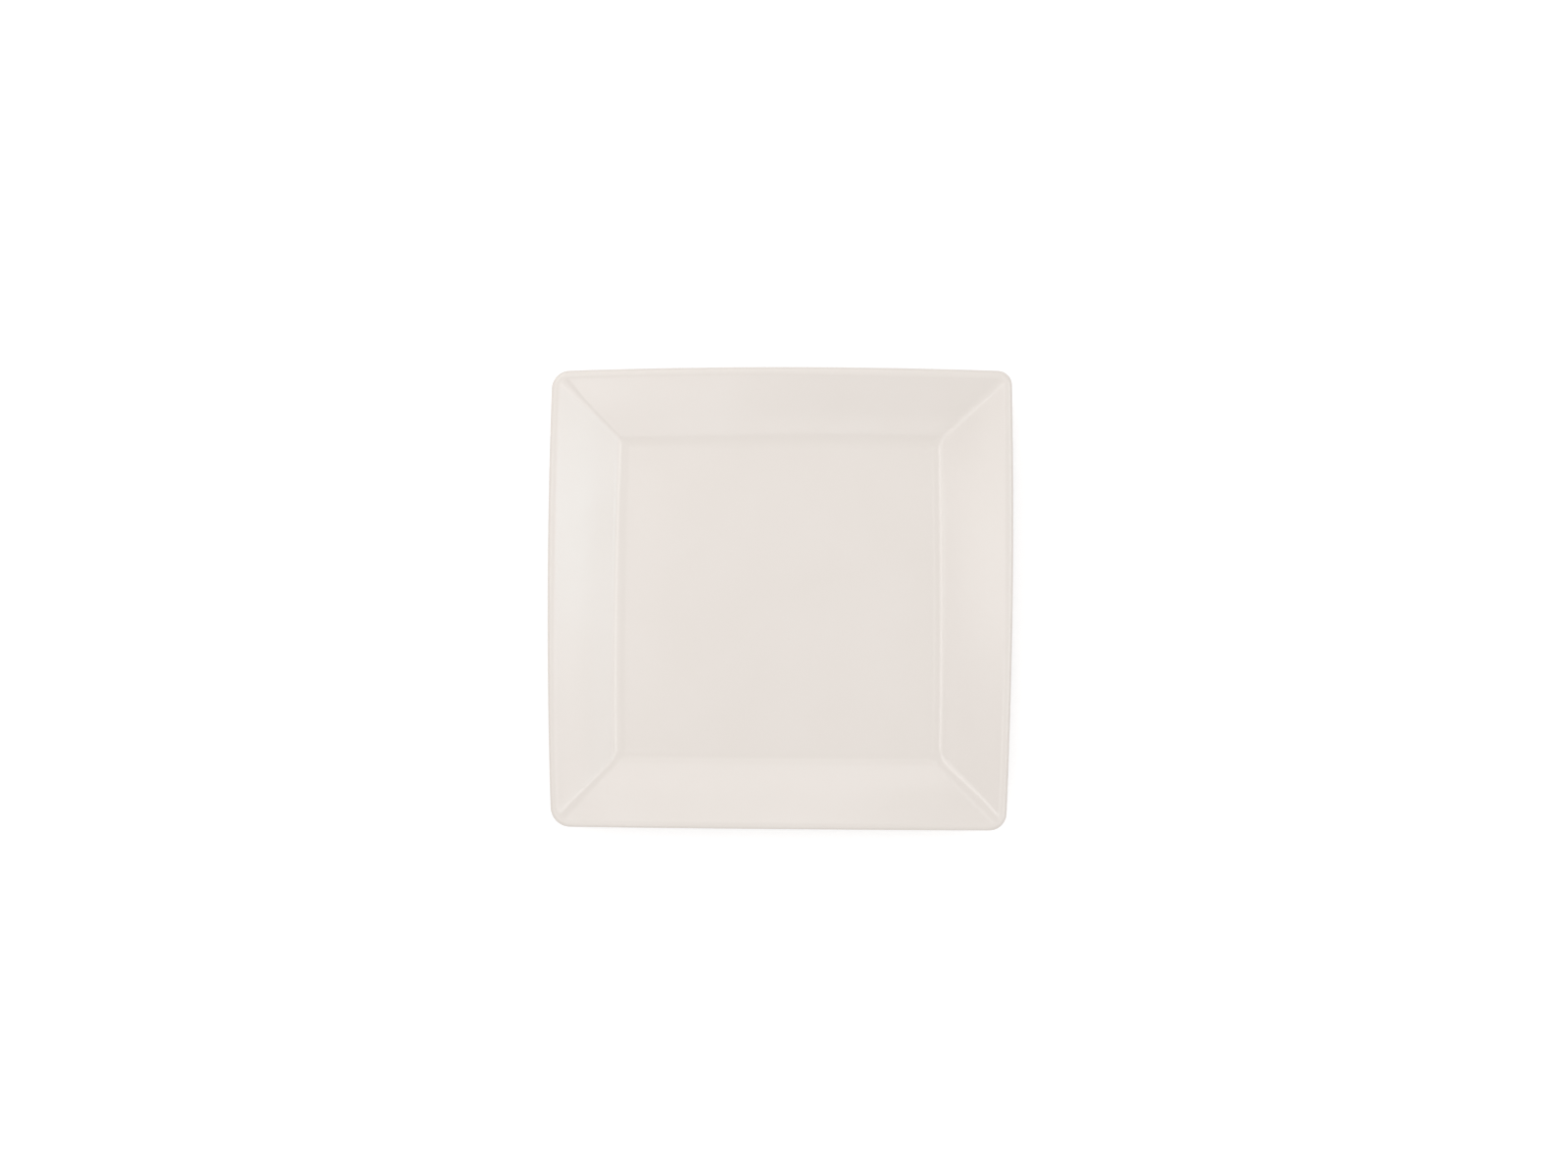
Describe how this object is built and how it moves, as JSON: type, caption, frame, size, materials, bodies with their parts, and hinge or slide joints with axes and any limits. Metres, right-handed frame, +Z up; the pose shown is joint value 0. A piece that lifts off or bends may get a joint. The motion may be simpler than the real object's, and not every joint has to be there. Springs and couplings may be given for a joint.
{
  "type": "square dinner plate",
  "caption": "Square glazed dinner plate with gently bowed sides, sloping rim panels that meet in mitred creases, a rolled lip and a square bare-clay foot ring.",
  "frame": {"origin": "middle of the plate on the table plane that its foot stands on", "axes": "+Z up out of the well; +X and +Y square to two neighbouring sides"},
  "size_m": [0.254, 0.254, 0.025],
  "materials": {
    "fired_clay": "matte",
    "cream_glaze": "satin"
  },
  "bodies": {
    "root": {"clay_body": "fired_clay", "face_glaze": "cream_glaze", "base_glaze": "cream_glaze"}
  },
  "joints": []
}
